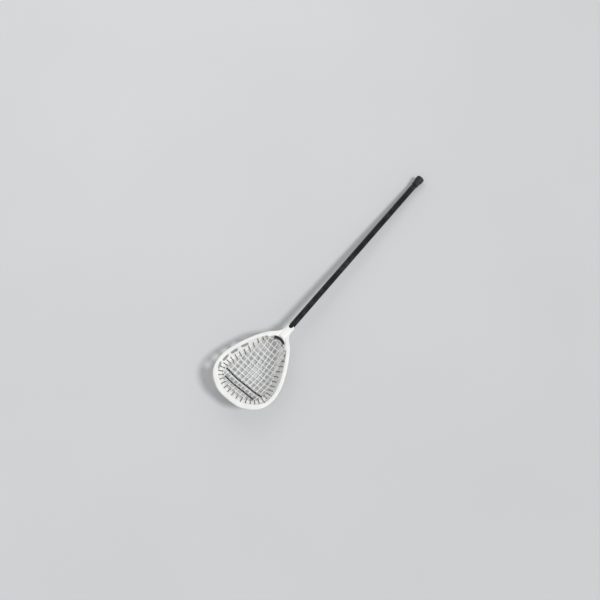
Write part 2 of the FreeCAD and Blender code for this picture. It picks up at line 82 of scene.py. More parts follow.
def linear(hexColour):
    # sRGB hex to linear: (v + 0.055) / 1.055 to the power 2.4, or v / 12.92 in the darks
    parts = [int(hexColour[i:i + 2], 16) / 255 for i in (1, 3, 5)]
    return tuple(v / 12.92 if v <= 0.04045 else ((v + 0.055) / 1.055) ** 2.4 for v in parts) + (1.0,)


def addNode(tree, kind, settings=None, inputs=None):
    # a node with its properties set and its inputs given as values or as sockets to link
    node = tree.nodes.new(kind)
    for name, value in (settings or {}).items():
        setattr(node, name, value)
    for key, value in (inputs or {}).items():
        if isinstance(value, bpy.types.NodeSocket):
            tree.links.new(value, node.inputs[key])
        else:
            node.inputs[key].default_value = value
    return node


def newMaterial(name):
    # a named material and its emptied node tree
    material = bpy.data.materials.new(name)
    material.use_nodes = True
    tree = material.node_tree
    tree.nodes.clear()
    return material, tree


def noise(tree, coords, size, detail=3.0, roughness=0.5):
    # noise whose grain is about size metres across
    return addNode(
        tree, "ShaderNodeTexNoise", {"noise_dimensions": "3D"},
        {"Vector": coords, "Scale": 1.0 / size, "Detail": detail, "Roughness": roughness},
    ).outputs["Fac"]


def spread(tree, value, low, high, toLow=0.0, toHigh=1.0):
    # low..high stretched to toLow..toHigh, held at both ends
    return addNode(
        tree, "ShaderNodeMapRange", {"clamp": True},
        {"Value": value, "From Min": low, "From Max": high, "To Min": toLow, "To Max": toHigh},
    ).outputs["Result"]


def multiply(tree, first, second):
    return addNode(tree, "ShaderNodeMath", {"operation": "MULTIPLY"}, {0: first, 1: second}).outputs[0]


def stretched(tree, coords, scale=(1.0, 1.0, 1.0), turn=(0.0, 0.0, 0.0)):
    # coordinates scaled and turned, so that a pattern runs along or across the piece
    return addNode(
        tree, "ShaderNodeMapping", {}, {"Vector": coords, "Scale": scale, "Rotation": turn}
    ).outputs["Vector"]


def mixColours(tree, factor, first, second):
    # first where the factor is 0, second where it is 1: sockets 6 and 7 are the colour pair of Mix
    node = addNode(tree, "ShaderNodeMix", {"data_type": "RGBA"}, {"Factor": factor})
    for socket, value in ((node.inputs[6], first), (node.inputs[7], second)):
        if isinstance(value, bpy.types.NodeSocket):
            tree.links.new(value, socket)
        else:
            socket.default_value = value
    return node.outputs[2]


def objectCoords(tree):
    return addNode(tree, "ShaderNodeTexCoord").outputs["Object"]


def bump(tree, height, distance, strength):
    return addNode(
        tree, "ShaderNodeBump", {}, {"Height": height, "Distance": distance, "Strength": strength}
    ).outputs["Normal"]


def finishMaterial(tree, inputs):
    shader = addNode(tree, "ShaderNodeBsdfPrincipled", {}, inputs)
    addNode(tree, "ShaderNodeOutputMaterial", {}, {"Surface": shader.outputs["BSDF"]})


def gridFaces(rows, columns, wrapRows):
    # quads between neighbouring points of a rows x columns grid that is closed across its columns
    r = np.arange(rows if wrapRows else rows - 1)[:, None]
    c = np.arange(columns)[None, :]
    r2, c2 = (r + 1) % rows, (c + 1) % columns
    here, there = r * columns, r2 * columns
    return np.stack([here + c, here + c2, there + c2, there + c], -1).reshape(-1, 4)


def tubeGrid(path, radius, sides, closed=False, swell=None, reference=(0.0, 0.0, 1.0)):
    # circle of the given radius carried along the path: centre + r (cos a) side + r (sin a) up,
    # where side is square to the path and to the reference, and r may change with place and angle
    ahead = np.roll(path, -1, axis=0) - np.roll(path, 1, axis=0)
    if not closed:
        ahead[0] = path[1] - path[0]
        ahead[-1] = path[-1] - path[-2]
    ahead /= np.linalg.norm(ahead, axis=1, keepdims=True)
    side = np.cross(ahead, np.asarray(reference, float))
    side /= np.linalg.norm(side, axis=1, keepdims=True) + 1e-12
    up = np.cross(side, ahead)
    angle = np.linspace(0, 2 * np.pi, sides, endpoint=False)
    r = np.broadcast_to(np.asarray(radius, float).reshape(-1, 1), (len(path), sides)).copy()
    if swell is not None:
        r = r * swell(np.arange(len(path))[:, None], angle[None, :])
    cosine, sine = np.cos(angle)[None, :, None], np.sin(angle)[None, :, None]
    return path[:, None, :] + r[..., None] * (cosine * side[:, None] + sine * up[:, None])


def tubeMesh(grids, closedFlags):
    # several tubes in one list of points and faces; open ends are closed by a last point
    points, faces, count = [], [], 0
    for grid, closed in zip(grids, closedFlags):
        rows, columns = grid.shape[:2]
        points.append(grid.reshape(-1, 3))
        body = gridFaces(rows, columns, closed) + count
        faces += body.tolist()
        if not closed:
            first, last = count + rows * columns, count + rows * columns + 1
            points.append(np.array([grid[0].mean(0), grid[-1].mean(0)]))
            c = np.arange(columns)
            faces += np.stack([np.full(columns, first), count + (c + 1) % columns, count + c], -1).tolist()
            end = count + (rows - 1) * columns
            faces += np.stack([np.full(columns, last), end + c, end + (c + 1) % columns], -1).tolist()
            count += 2
        count += rows * columns
    return np.concatenate(points), faces


def newPiece(name, points, faces, material, smooth=True):
    # an object at the origin with the points, the faces and one material
    mesh = bpy.data.meshes.new(name)
    mesh.from_pydata(points.tolist(), [], faces)
    mesh.update()
    mesh.materials.append(material)
    mesh.polygons.foreach_set("use_smooth", np.full(len(mesh.polygons), smooth))
    piece = bpy.data.objects.new(name, mesh)
    bpy.context.scene.collection.objects.link(piece)
    return piece


# Materials

def nylonMaterial():
    # injection-moulded nylon: satin white, faintly uneven, grey scuffs where the scoop meets the ground
    look = {
        "white": "#E9E9E6",
        "cool": "#DDDEDD",
        "scuff": "#8F8F8D",
        "roughness": 0.42,
        "cloud": 0.060,  # size of the uneven patches
        "scuffEnd": -0.695,  # along Y: full scuffs here, at the scoop
        "scuffStart": -0.600,  # and none past here
        "scratch": 0.009,
        "scratchSquash": 6.0,  # scuffs are that much finer along the stick
        "scuffStrength": 0.55,
        "grain": 0.0012,  # of the mould
    }
    material, tree = newMaterial("mouldedNylon")
    coords = objectCoords(tree)
    cloud = noise(tree, coords, look["cloud"], 4.0)
    base = mixColours(tree, spread(tree, cloud, 0.35, 0.7), linear(look["white"]), linear(look["cool"]))
    place = addNode(tree, "ShaderNodeSeparateXYZ", {}, {"Vector": coords}).outputs["Y"]
    nearScoop = spread(tree, place, look["scuffEnd"], look["scuffStart"], 1.0, 0.0)
    scratches = stretched(tree, coords, (1.0, look["scratchSquash"], 1.0))
    marks = spread(tree, noise(tree, scratches, look["scratch"], 5.0, 0.65), 0.60, 0.68)
    worn = multiply(tree, multiply(tree, marks, nearScoop), look["scuffStrength"])
    colour = mixColours(tree, worn, base, linear(look["scuff"]))
    grain = noise(tree, coords, look["grain"], 2.0)
    roughness = spread(tree, cloud, 0.3, 0.7, look["roughness"] - 0.05, look["roughness"] + 0.10)
    finishMaterial(tree, {
        "Base Color": colour,
        "Roughness": roughness,
        "IOR": 1.53,
        "Subsurface Weight": 0.06,
        "Subsurface Radius": (0.004, 0.004, 0.004),
        "Normal": bump(tree, grain, 0.0002, 0.25),
    })
    return material


def anodisedMaterial():
    # black anodised aluminium: dark oxide over metal, extrusion lines along the tube, silver specks of wear
    look = {
        "black": "#111214",
        "rubbed": "#34363A",
        "bare": "#8C8F93",
        "roughness": 0.34,
        "line": 0.0009,  # across an extrusion line
        "lineStretch": 0.012,  # a line's width as a share of its length
        "cloud": 0.038,  # size of the rubbed patches
        "speck": 0.0035,
        "wearPatch": 0.110,  # size of the places where specks gather
    }
    material, tree = newMaterial("anodisedAluminium")
    coords = objectCoords(tree)
    drawn = noise(tree, stretched(tree, coords, (1.0, look["lineStretch"], 1.0)), look["line"], 3.0)
    cloud = noise(tree, coords, look["cloud"], 6.0, 0.62)
    base = mixColours(tree, spread(tree, cloud, 0.46, 0.70), linear(look["black"]), linear(look["rubbed"]))
    specks = spread(tree, noise(tree, coords, look["speck"], 5.0, 0.7), 0.66, 0.71)
    patches = spread(tree, noise(tree, coords, look["wearPatch"], 2.0), 0.48, 0.62)
    colour = mixColours(tree, multiply(tree, specks, patches), base, linear(look["bare"]))
    roughness = spread(tree, drawn, 0.3, 0.7, look["roughness"] - 0.06, look["roughness"] + 0.10)
    finishMaterial(tree, {
        "Base Color": colour,
        "Metallic": 0.55,
        "Roughness": roughness,
        "Normal": bump(tree, drawn, 0.00008, 0.5),
    })
    return material


def rubberMaterial():
    # moulded black rubber: matt, with dust that greys it in random patches, painted light that makes the
    # end face a lighter grey, and a fine pebble from the mould
    look = {
        "black": "#121213",
        # grey of the dust, and of the painted light on the end face
        "dustAndLitFace": "#303031",
        "roughness": 0.70,
        "dustPatch": 0.012,
        "faceStart": 0.6925,  # along Y: no painted light on the end face before here
        "faceEnd": 0.6945,  # and all of it past here
        # how much lighter the end face is painted: painted light
        "faceLightening": 0.8,
        "pebble": 0.0008,
    }
    material, tree = newMaterial("mouldedRubber")
    coords = objectCoords(tree)
    dusty = spread(tree, noise(tree, coords, look["dustPatch"], 5.0, 0.6), 0.45, 0.75)
    place = addNode(tree, "ShaderNodeSeparateXYZ", {}, {"Vector": coords}).outputs["Y"]
    # painted light: past faceStart the end face is drawn lighter grey
    litEndFace = spread(tree, place, look["faceStart"], look["faceEnd"], 0.0, look["faceLightening"])
    # real dust and the painted light on the end face, whichever is more
    dustAndLitFace = addNode(tree, "ShaderNodeMath", {"operation": "MAXIMUM"}, {0: dusty, 1: litEndFace}).outputs[0]
    pebble = noise(tree, coords, look["pebble"], 2.0)
    finishMaterial(tree, {
        "Base Color": mixColours(tree, dustAndLitFace, linear(look["black"]), linear(look["dustAndLitFace"])),
        "Roughness": spread(tree, dustAndLitFace, 0.0, 1.0, look["roughness"] - 0.08, look["roughness"] + 0.12),
        "IOR": 1.52,
        "Normal": bump(tree, pebble, 0.0001, 0.5),
    })
    return material


def foamMaterial():
    # closed-cell foam with a cut skin: dark, no shine, small open pores painted darker inside as painted
    # shade
    look = {"dark": "#1E1F21", "light": "#2C2D30", "pore": 0.0014}
    material, tree = newMaterial("closedCellFoam")
    coords = objectCoords(tree)
    cells = addNode(
        tree, "ShaderNodeTexVoronoi", {"feature": "F1"}, {"Vector": coords, "Scale": 1.0 / look["pore"]}
    ).outputs["Distance"]
    # painted shade: the colour darkens towards the middle of each pore, where the bump dips
    tone = mixColours(tree, spread(tree, cells, 0.1, 0.7), linear(look["dark"]), linear(look["light"]))
    finishMaterial(tree, {
        "Base Color": tone,
        "Roughness": 0.92,
        "Normal": bump(tree, cells, 0.0004, 0.7),
    })
    return material


def cordMaterial(name, light, dark, braid):
    # braided nylon cord: matt, with small diagonal plaits that catch and lose the light, and painted shade
    # that darkens the colour between the plaits
    look = {
        "turn": (0.5, 0.6, 0.785),  # radians
        "waveScale": 6.28,  # makes a band about braid metres wide
        "waviness": 1.2,
        "soil": 0.030,
    }
    material, tree = newMaterial(name)
    coords = objectCoords(tree)
    turned = stretched(tree, coords, turn=look["turn"])
    scale = 1.0 / braid / look["waveScale"]
    bands = []
    for way in ("X", "Y"):
        bands.append(addNode(
            tree, "ShaderNodeTexWave", {"wave_type": "BANDS", "bands_direction": way},
            {"Vector": turned, "Scale": scale, "Distortion": look["waviness"], "Detail": 2.0},
        ).outputs["Fac"])
    plait = multiply(tree, bands[0], bands[1])
    # painted shade: the colour runs from light on the plaits to dark in the grooves between them, times
    # soil that changes at random
    tone = multiply(tree, plait, noise(tree, coords, look["soil"], 4.0))
    finishMaterial(tree, {
        "Base Color": mixColours(tree, spread(tree, tone, 0.05, 0.5), linear(dark), linear(light)),
        "Roughness": 0.85,
        "Sheen Weight": 0.15,
        "Normal": bump(tree, plait, 0.0003, 0.6),
    })
    return material


def zincMaterial():
    # zinc-plated steel screw: bright, a little brushed by the driver
    look = {"bright": "#B9BCC0", "dull": "#8F9296", "swirl": 0.0006}
    material, tree = newMaterial("zincPlatedSteel")
    swirl = noise(tree, objectCoords(tree), look["swirl"], 3.0)
    finishMaterial(tree, {
        "Base Color": mixColours(tree, swirl, linear(look["bright"]), linear(look["dull"])),
        "Metallic": 1.0,
        "Roughness": spread(tree, swirl, 0.3, 0.7, 0.25, 0.42),
    })
    return material


nylon = nylonMaterial()
anodised = anodisedMaterial()
rubber = rubberMaterial()
foam = foamMaterial()
# dark is the painted shade between the plaits of each cord
netCord = cordMaterial("knittedNylonNet", light="#F4F4F2", dark="#DDDDDA", braid=0.0022)
laceCord = cordMaterial("braidedNylonString", light="#2B2B2D", dark="#101011", braid=0.0016)
zinc = zincMaterial()
print("materials made")


# Head moulding

moulding = {
    "weld": 0.00002,  # points nearer than this become one
    "grain": 0.00140,  # size of the surface's grid
    "ease": 0.5,  # share of the way that each pass moves a point to its neighbours' middle
    "passes": 6,
}


def applyModifiers(piece):
    # the piece's mesh becomes what its modifiers make of it
    depsgraph = bpy.context.evaluated_depsgraph_get()
    finished = bpy.data.meshes.new_from_object(piece.evaluated_get(depsgraph))
    old = piece.data
    piece.modifiers.clear()
    piece.data = finished
    bpy.data.meshes.remove(old)


def mouldedHead():
    # the moulding has rounded edges and fillets: its surface is rebuilt on a fine even grid and eased
    source = bpy.data.objects["head_frame"].data
    shell = bmesh.new()
    shell.from_mesh(source)
    bmesh.ops.remove_doubles(shell, verts=shell.verts, dist=moulding["weld"])
    bmesh.ops.recalc_face_normals(shell, faces=shell.faces)
    mesh = bpy.data.meshes.new("headMoulding")
    shell.to_mesh(mesh)
    shell.free()
    piece = bpy.data.objects.new("headMoulding", mesh)
    bpy.context.scene.collection.objects.link(piece)
    even = piece.modifiers.new("even", "REMESH")
    even.mode = "VOXEL"
    even.voxel_size = moulding["grain"] * 1.0
    eased = piece.modifiers.new("eased", "SMOOTH")
    eased.factor = moulding["ease"]
    eased.iterations = moulding["passes"]
    applyModifiers(piece)
    piece.data.materials.clear()
    piece.data.materials.append(nylon)
    piece.data.polygons.foreach_set("use_smooth", np.ones(len(piece.data.polygons), bool))
    return piece


head = mouldedHead()
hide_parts("head_frame")
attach(head, "stick")
print("head moulded", len(head.data.polygons), "faces")


# Net

net = {
    "pitch": 0.0216,  # between strands
    "strand": 0.0021,  # radius
    "knot": 0.0029,  # radius where strands cross
    "knotReach": 0.0030,  # how far the swelling goes
    "hem": 0.0027,  # radius of the gathered edge
    "thickness": 0.004,
    "gap": 0.0007,  # to the rail
    "rise": 0.0025,  # of its top over the rail's underside
    "border": 0.010,  # width of the edge before the bowl starts
    "hemInset": 0.0020,
    "depth": 0.038,  # of the bowl
    "bowl": 0.088,  # width of its slope
    "throatGap": 0.014,  # from the ball stop to the edge's middle
    "cornerGap": 0.030,  # and to its corners
    "edgePoints": 600,
    "step": 0.0009,  # along a strand
    "sides": 10,
    "slack": 0.0008,  # how far strands wander from their grid
    "restHeight": 0.0003,  # strands flatten on the floor here
    "overlap": 0.00015,  # the crosswise ones rest on the others
    "driftLength": 0.055,  # how fast the wandering changes
    "plait": 0.0034,  # length of one plait of the braid
    "plaitSwell": 0.07,
    "hemFill": 0.92,  # the gathered edge is pulled a little thinner
    "fewest": 12,  # points of a strand; shorter ends are dropped
}


def ease(t):
    # 3t^2 - 2t^3, flat at both ends
    t = np.clip(t, 0.0, 1.0)
    return t * t * (3 - 2 * t)


def rimHalf():
    # cubic spline through the rim's stations, by chord length, with set directions at both ends
    half = stick["headWidth"] / 2
    places = [(-stick["throatLength"], stick["neckHalf"]), (0.0, stick["throatWidth"] / 2)]
    places += [(share * stick["headLength"], part * half) for share, part in stick["rimStations"]]
    knots = np.array([(x, -place) for place, x in places] + [(0.0, -stick["headLength"])])
    run = np.linalg.norm(np.diff(knots, axis=0), axis=1)
    t = np.concatenate([[0], np.cumsum(run)])
    count = len(knots)
    matrix = np.zeros((count, count))
    right = np.zeros((count, 2))
    matrix[0, 0] = matrix[-1, -1] = 1
    right[0], right[-1] = (0, -1), (-1, 0)
    for i in range(1, count - 1):
        before, after = run[i - 1], run[i]
        matrix[i, i - 1:i + 2] = after, 2 * (before + after), before
        back, forth = knots[i] - knots[i - 1], knots[i + 1] - knots[i]
        right[i] = 3 * (after / before * back + before / after * forth)
    slope = np.linalg.solve(matrix, right)
    fine = np.linspace(0, t[-1], stick["rimPoints"])
    i = np.clip(np.searchsorted(t, fine, side="right") - 1, 0, count - 2)
    h = run[i][:, None]
    u = ((fine - t[i]) / run[i])[:, None]
    curve = (2 * u ** 3 - 3 * u ** 2 + 1) * knots[i] + (u ** 3 - 2 * u ** 2 + u) * h * slope[i]
    curve += (3 * u ** 2 - 2 * u ** 3) * knots[i + 1] + (u ** 3 - u ** 2) * h * slope[i + 1]
    return curve


def flare(place):
    # how far the rail stands inside the rim's line: eased from throat to sides, and on to the scoop
    full = stick["flareSide"] - stick["flareThroat"]
    side = stick["flareThroat"] + full * ease(place / stick["flareReach"])
    share = (place / stick["headLength"] - stick["scoopFrom"]) / stick["scoopSpan"]
    return side + (stick["flareScoop"] - side) * ease(share)


def railBottom(place):
    # height of the rail's underside: eased down from the throat to the middle and up again to the scoop
    start, middle, end = stick["railHeights"]
    lowest = stick["lowest"]
    share = place / (stick["headLength"] - stick["flareScoop"] - stick["railWidth"])
    near = start + (middle - start) * ease(share / lowest)
    far = middle + (end - middle) * ease((share - lowest) / (1 - lowest))
    return np.where(share < lowest, near, far)


def netEdge(inset):
    # the rim's line moved inwards, square to itself, and closed at the throat by a shallow arc
    curve = rimHalf()
    tangent = np.gradient(curve, axis=0)
    tangent /= np.linalg.norm(tangent, axis=1, keepdims=True)
    normal = np.stack([tangent[:, 1], -tangent[:, 0]], 1)
    foot = flare(-curve[:, 1]) + stick["railWidth"] + net["gap"] + inset
    inner = curve + normal * foot[:, None]
    inner = inner[inner[:, 1] < -net["cornerGap"] - inset]
    inner = inner[inner[:, 0] >= 0]
    corner = inner[0]
    top = -net["throatGap"] - inset
    sag = top - corner[1]
    radius = (corner[0] ** 2 + sag ** 2) / (2 * sag)
    x = np.linspace(-corner[0], corner[0], 200)[1:-1]
    arc = np.stack([x, top - radius + np.sqrt(radius ** 2 - x ** 2)], 1)
    left = inner[::-1] * np.array([-1, 1])
    loop = np.concatenate([inner, left, arc])
    steps = np.linalg.norm(np.diff(loop, axis=0, append=loop[:1]), axis=1)
    length = np.concatenate([[0], np.cumsum(steps)])
    loop = np.concatenate([loop, loop[:1]])
    even = np.linspace(0, length[-1], net["edgePoints"], endpoint=False)
    return np.stack([np.interp(even, length, loop[:, 0]), np.interp(even, length, loop[:, 1])], 1)


edgeLoop = netEdge(0.0)


def netTop(flat):
    # the rail's height along the border, then a bowl: depth (1 - (1 - s)^2), s the share of the way in
    reach = np.concatenate([
        np.sqrt(((part[:, None] - edgeLoop[None]) ** 2).sum(-1)).min(1)
        for part in np.array_split(flat, max(len(flat) // 2000, 1))
    ])
    share = np.clip((reach - net["border"]) / net["bowl"], 0, 1)
    return railBottom(-flat[:, 1]) + net["rise"] - net["depth"] * (1 - (1 - share) ** 2)


def inside(flat, loop):
    # even-odd rule: how many edges of the loop lie to the right of each point
    ax, ay = loop[:, 0], loop[:, 1]
    bx, by = np.roll(ax, -1), np.roll(ay, -1)
    x, y = flat[:, 0][:, None], flat[:, 1][:, None]
    crosses = (ay > y) != (by > y)
    at = (bx - ax) * (y - ay) / np.where(by == ay, 1e-12, by - ay) + ax
    return (crosses & (x < at)).sum(1) % 2 == 1


def wander(flat):
    # smooth sideways drift of the knots, as a hand-laced net has
    x, y = flat[:, 0] / net["driftLength"], flat[:, 1] / net["driftLength"]
    shift = np.stack([np.sin(1.3 * x + 2.1 * y + 0.4), np.cos(1.7 * x - 1.2 * y + 1.1)], 1)
    return flat + shift * net["slack"]


def braid(rows, angle):
    # two families of plaits wound opposite ways round the strand
    turn = rows * net["step"] / net["plait"] * np.pi
    return 1 + net["plaitSwell"] * (np.cos(2 * angle + turn) + np.cos(2 * angle - turn))


def strandPaths():
    # plan lines along and across the stick, cut where they meet the gathered edge
    limit = netEdge(net["hemInset"])
    half, length = stick["headWidth"] / 2, stick["headLength"]
    count = int(half / net["pitch"]) + 1
    lines = []
    for i in range(-count, count + 1):
        y = np.arange(-length, 0, net["step"])
        lines.append(np.stack([np.full_like(y, i * net["pitch"]), y], 1))
    for j in range(1, int(length / net["pitch"]) + 1):
        x = np.arange(-half, half, net["step"])
        lines.append(np.stack([x, np.full_like(x, -j * net["pitch"])], 1))
    kept = []
    for line in lines:
        line = line[inside(line, limit)]
        if len(line) > net["fewest"]:
            kept.append(line)
    return kept


def knottedRadius(flat):
    # strand radius, plus a bell-shaped swelling wherever both grid lines are near
    off = np.abs(flat / net["pitch"] - np.round(flat / net["pitch"])) * net["pitch"]
    along = np.max(off, axis=1)
    return net["strand"] + (net["knot"] - net["strand"]) * np.exp(-(along / net["knotReach"]) ** 2)


def netPiece():
    # braided tubes along every strand, held above the floor where the bowl reaches it, and the hem
    grids, flags = [], []
    for line in strandPaths():
        flat = wander(line)
        centre = np.column_stack([flat, netTop(flat) - net["thickness"] / 2])
        strand = tubeGrid(toRow(centre), knottedRadius(line), net["sides"], False, braid)
        crosswise = line[0, 1] == line[-1, 1]
        rest = net["restHeight"] + (net["overlap"] if crosswise else 0.0)
        strand[..., 2] = np.maximum(strand[..., 2], rest)
        grids.append(strand)
        flags.append(False)
    hem = netEdge(net["hemInset"])
    hem = np.column_stack([hem, netTop(hem) - net["thickness"] / 2])
    grids.append(tubeGrid(toRow(hem), net["hem"] * net["hemFill"], net["sides"], True, braid))
    flags.append(True)
    points, faces = tubeMesh(grids, flags)
    print("net", len(faces), "faces")
    return newPiece("nettedPocket", points, faces, netCord)


pocket = netPiece()
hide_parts("net_pocket")
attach(pocket, "stick")


# Shooting laces

laces = {
    "places": {"shooting_string_lower": 0.250, "shooting_string_upper": 0.282},
    "radius": 0.0026,
    "wrap": 0.0013,  # how much thicker a lace is where it is wrapped round a strand
    "wrapReach": 0.0034,
    "dip": 0.0016,  # how far it sinks into the mesh between strands
    "edgeGap": 0.0030,  # ends inside the net's edge
    "pitch": 0.0060,  # of the twist of its two plies
    "plySwell": 0.13,
    "strands": 9,  # ridges round the lace
    "strandSwell": 0.04,
    "sway": 0.0007,
    "swayLength": 0.019,
    "step": 0.0006,
    "sides": 16,
}


def lacePiece(node):
    # on the net's surface from border to border: thicker at each strand, lower between strands, and
    # two-plied: the radius swells twice a turn, and the swelling turns as it goes along
    edge = netEdge(laces["edgeGap"])
    place = laces["places"][node]
    near = edge[np.abs(-edge[:, 1] - place) < net["pitch"] / 2]
    half = np.abs(near[:, 0]).min()
    x = np.arange(-half, half, laces["step"])
    sway = laces["sway"] * np.sin(x / laces["swayLength"])
    flat = np.stack([x, sway - place], 1)
    off = np.abs(x / net["pitch"] - np.round(x / net["pitch"])) * net["pitch"]
    atStrand = np.exp(-(off / laces["wrapReach"]) ** 2)
    lift = laces["radius"] - laces["dip"] * (1 - atStrand)
    path = toRow(np.column_stack([flat, netTop(flat) + lift]))
    radius = laces["radius"] + laces["wrap"] * atStrand
    run = x[:, None]

    def plies(rows, angle):
        turn = run / laces["pitch"] * 2 * np.pi
        ridges = laces["strandSwell"] * np.cos(laces["strands"] * angle + 3 * turn)
        return 1 + laces["plySwell"] * np.cos(2 * (angle - turn / 2)) + ridges

    points, faces = tubeMesh([tubeGrid(path, radius, laces["sides"], False, plies)], [False])
    piece = newPiece(node.replace("_string_", "Lace_"), points, faces, laceCord)
    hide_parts(node)
    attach(piece, "stick")


for node in laces["places"]:
    lacePiece(node)
print("shooting laces made")


# Lacing

lacing = {
    "pitch": 0.025,  # along the rim's outer edge
    "first": 0.036,  # places past the ball stop
    "last": 0.288,
    "radius": 0.0013,
    "holeRise": 0.005,  # holes in the wall, above the rail
    "railDepth": 0.008,
    "drop": 0.0040,  # how far it runs under the rail
    "out": 0.0045,  # and outside it
    "eye": 0.0056,  # from the net's edge to where it goes through
    "wallInset": 0.005,
    "rimThickness": 0.007,
    "rimHeights": (0.014, -0.004, 0.010),  # throat, middle, scoop
    "knotReach": 0.0030,
    "knotGap": 0.0005,
    "throatHalf": 0.0222,  # from the middle to a hole in the ball stop
    "throatHeight": -0.008,  # of those holes
    "stopRadius": 0.047,  # of the ball stop's inner face
    "stopThickness": 0.007,
    "lastRun": 0.75,  # share of the last stretch that is made
    "throatReference": [0.6, 0.5, 0.62],  # lies along none of the throat string's runs
    "rounding": 5,  # steps that a corner is eased over
    "step": 0.0007,
    "sides": 12,
    "plait": 0.0026,
    "plaitSwell": 0.06,
    "knotPoints": 70,
    "knotSides": 10,
    "knotDepth": 1.4,
    "knotReference": (0.3, 0.9, 0.2),
    "knotSpread": 1.05,  # the knot is pulled a little wider than its reach
    "knotThin": 0.95,  # and its string a little thinner
}

rim = rimHalf()
rimRun = np.concatenate([[0], np.cumsum(np.linalg.norm(np.diff(rim, axis=0), axis=1))])
rimTangent = np.gradient(rim, axis=0)
rimTangent /= np.linalg.norm(rimTangent, axis=1, keepdims=True)
halfSpan = rimRun[-1]


def alongRim(distance):
    # point, inward direction and direction of travel on the rim, from its right end to its left one
    side = 1 if distance <= halfSpan else -1
    run = distance if side == 1 else 2 * halfSpan - distance
    point = np.array([side * np.interp(run, rimRun, rim[:, 0]), np.interp(run, rimRun, rim[:, 1])])
    ahead = np.array([np.interp(run, rimRun, rimTangent[:, 0]), np.interp(run, rimRun, rimTangent[:, 1])])
    ahead /= np.linalg.norm(ahead)
    inward = np.array([side * ahead[1], -ahead[0]])
    return point, inward, np.array([ahead[0], side * ahead[1], 0.0])


def rimTop(place):
    # height of the rim's top: eased down from the throat to the middle and up again to the scoop
    throat, middle, scoop = lacing["rimHeights"]
    share = place / stick["headLength"]
    near = throat + (middle - throat) * ease(share / 0.5)
    far = middle + (scoop - middle) * ease((share - 0.5) / 0.5)
    return np.where(share < 0.5, near, far)


def railAt(point, inward):
    # how far in the rail's outer side is from the rim's line, and the height of its underside
    foot = flare(-point[1])
    return foot, railBottom(-(point + inward * (foot + stick["railWidth"]))[1])


def besideRail(distance, inset, rise):
    # inset from the rail's outer side, rise above its underside, and the direction of travel there
    point, inward, ahead = alongRim(distance)
    foot, level = railAt(point, inward)
    spot = point + inward * (foot + inset)
    return np.array([spot[0], spot[1], level + rise]), ahead


def outsideWall(distance):
    # a knot stands off the slanting wall by its own reach, measured square to the wall
    point, inward, _ = alongRim(distance)
    foot, level = railAt(point, inward)
    tall = rimTop(-point[1]) - lacing["rimThickness"] - level - lacing["railDepth"]
    lean = (foot - lacing["wallInset"]) / tall
    reach = lacing["knotReach"] + lacing["knotGap"]
    return -lacing["holeRise"] * max(lean, 0) - reach * math.hypot(1, lean)


def laceDistances():
    # distances along the rim: even ones up the right side, and even ones between it and its mirror
    places = -rim[:, 1]
    first = np.interp(lacing["first"], places, rimRun)
    last = np.interp(lacing["last"], places, rimRun)
    right = first + lacing["pitch"] * np.arange(int((last - first) / lacing["pitch"]) + 1)
    gap = 2 * (halfSpan - right[-1])
    count = int(gap / lacing["pitch"]) - 1
    scoop = right[-1] + gap * np.arange(1, count + 1) / (count + 1)
    return right, scoop


def laceRoute(distances):
    # whip lacing: in through the wall, down through the net's edge, out under the rail
    eye = stick["railWidth"] + net["gap"] + lacing["eye"]
    above = lacing["railDepth"] + lacing["holeRise"]
    step = distances[1] - distances[0]
    stops = []
    for i, distance in enumerate(distances):
        stops.append(besideRail(distance, outsideWall(distance), above))
        stops.append(besideRail(distance, eye, above))
        if i + 1 < len(distances):
            stops.append(besideRail(distance, eye, -lacing["drop"]))
            stops.append(besideRail(distance + step / 2, -lacing["out"], -lacing["drop"]))
    points = np.array([stop[0] for stop in stops])
    ways = np.array([stop[1] for stop in stops])
    points[-1] = points[-2] + (points[-1] - points[-2]) * lacing["lastRun"]
    return points, ways


def throatRoute():
    # from a knot behind the ball stop down through the net's edge, across under it and back up
    corner = edgeLoop[edgeLoop[:, 1] < -net["cornerGap"]]
    corner = corner[np.argmax(corner[:, 1])]
    sag = -net["throatGap"] - corner[1]
    radius = (corner[0] ** 2 + sag ** 2) / (2 * sag)
    half = lacing["throatHalf"]
    eye = -(net["throatGap"] + radius - math.sqrt(radius ** 2 - half ** 2) + lacing["eye"])
    outer = lacing["stopRadius"] + lacing["stopThickness"]
    back = math.sqrt(outer ** 2 - half ** 2) - lacing["stopRadius"]
    back += lacing["knotReach"] + lacing["knotGap"]
    under = float(railBottom(-eye)) + net["rise"] - net["thickness"]
    under -= lacing["radius"] + 2 * lacing["knotGap"]
    height = lacing["throatHeight"]
    side = [(back, height), (eye, height), (eye, under)]
    points = [(-half, y, z) for y, z in side] + [(half, y, z) for y, z in side[::-1]]
    return np.array(points), np.tile([lacing["throatReference"]], (6, 1))


def easedPath(points, ways):
    # even steps along straight runs, then a moving mean that rounds the corners as a taut string does
    run = np.concatenate([[0], np.cumsum(np.linalg.norm(np.diff(points, axis=0), axis=1))])
    even = np.linspace(0, run[-1], int(run[-1] / lacing["step"]))
    both = np.concatenate([points, ways], axis=1)
    fine = np.stack([np.interp(even, run, both[:, i]) for i in range(6)], 1)
    window = lacing["rounding"]
    padded = np.pad(fine, ((window // 2, window // 2), (0, 0)), mode="edge")
    mean = np.full(window, 1 / window)
    eased = np.stack([np.convolve(padded[:, i], mean, mode="valid") for i in range(6)], 1)
    return eased[:, :3], eased[:, 3:]


